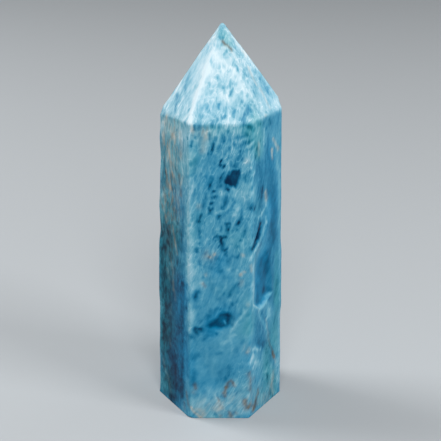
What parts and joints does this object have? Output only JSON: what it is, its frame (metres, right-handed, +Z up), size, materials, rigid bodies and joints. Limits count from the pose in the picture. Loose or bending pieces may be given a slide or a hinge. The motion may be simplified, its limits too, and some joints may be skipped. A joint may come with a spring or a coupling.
{
  "type": "apatite crystal wand",
  "caption": "Hand-cut tower of veined blue apatite: a tapering six-sided prism on a flat foot, ending in a six-sided point, polished, with natural hollows.",
  "frame": {"origin": "on the flat foot, at the axis that the six side facets are measured from", "axes": "+Z up from the foot to the point, +X to the right and -Y out of the front facet"},
  "size_m": [0.0291, 0.0254, 0.0899],
  "materials": {
    "apatite": "polished, veined blue apatite"
  },
  "bodies": {
    "root": {"apatite_point": "apatite"}
  },
  "joints": []
}
